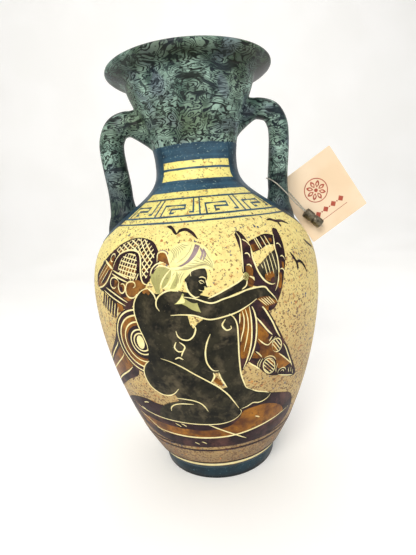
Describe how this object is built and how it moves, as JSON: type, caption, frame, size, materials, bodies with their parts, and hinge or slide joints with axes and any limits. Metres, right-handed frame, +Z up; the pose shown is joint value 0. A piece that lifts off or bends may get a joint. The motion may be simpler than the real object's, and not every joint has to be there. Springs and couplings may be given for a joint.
{
  "type": "amphora",
  "caption": "Belly amphora with a flared mouth, two upright side handles, a painted black-figure scene and a square hang tag tied to one handle.",
  "frame": {"origin": "centre of the foot's standing face, on the vase's axis", "axes": "+Z up along the vase's axis, +X towards the handle that carries the tag, -Y towards the painted front"},
  "size_m": [0.2185, 0.1696, 0.2952],
  "materials": {
    "cream_slip": "semi-gloss cream slip with fine dark speckles",
    "marbled_glaze": "semi-gloss verdigris green marbled with near-black veins",
    "dark_glaze": "semi-gloss dark teal",
    "figure_glaze": "satin near-black olive",
    "wing_glaze": "satin aubergine",
    "amber_glaze": "satin orange-brown, brushed",
    "incised_line": "matte pale scratched line",
    "bare_clay": "matte unglazed clay",
    "tag_card": "matte pale peach card",
    "tag_print": "matte red-brown print",
    "tag_cord": "silvery thread",
    "seal_metal": "dark crimped metal, worn"
  },
  "bodies": {
    "vase": {"foot": "dark_glaze", "body": "cream_slip", "neck": "cream_slip", "mouth": "marbled_glaze", "handle_left": "marbled_glaze", "handle_right": "marbled_glaze", "pad_upper_left": "marbled_glaze", "pad_upper_right": "marbled_glaze", "pad_lower_left": "dark_glaze", "pad_lower_right": "dark_glaze"},
    "tag_loop": {"tag_cord": "tag_cord", "tag_seal": "seal_metal"},
    "tag_card": {"tag_card": "tag_card"}
  },
  "joints": [
    {"name": "tag_swing", "type": "hinge", "parent": "vase", "child": "tag_loop", "pos_m": [0.0518, 0, 0.2156], "axis": [0, -1, 0], "range_deg": [0, 40]},
    {"name": "card_turn", "type": "hinge", "parent": "tag_loop", "child": "tag_card", "pos_m": [0.0687, 0.014, 0.2065], "axis": [0, -1, 0], "range_deg": [0, 45]}
  ]
}
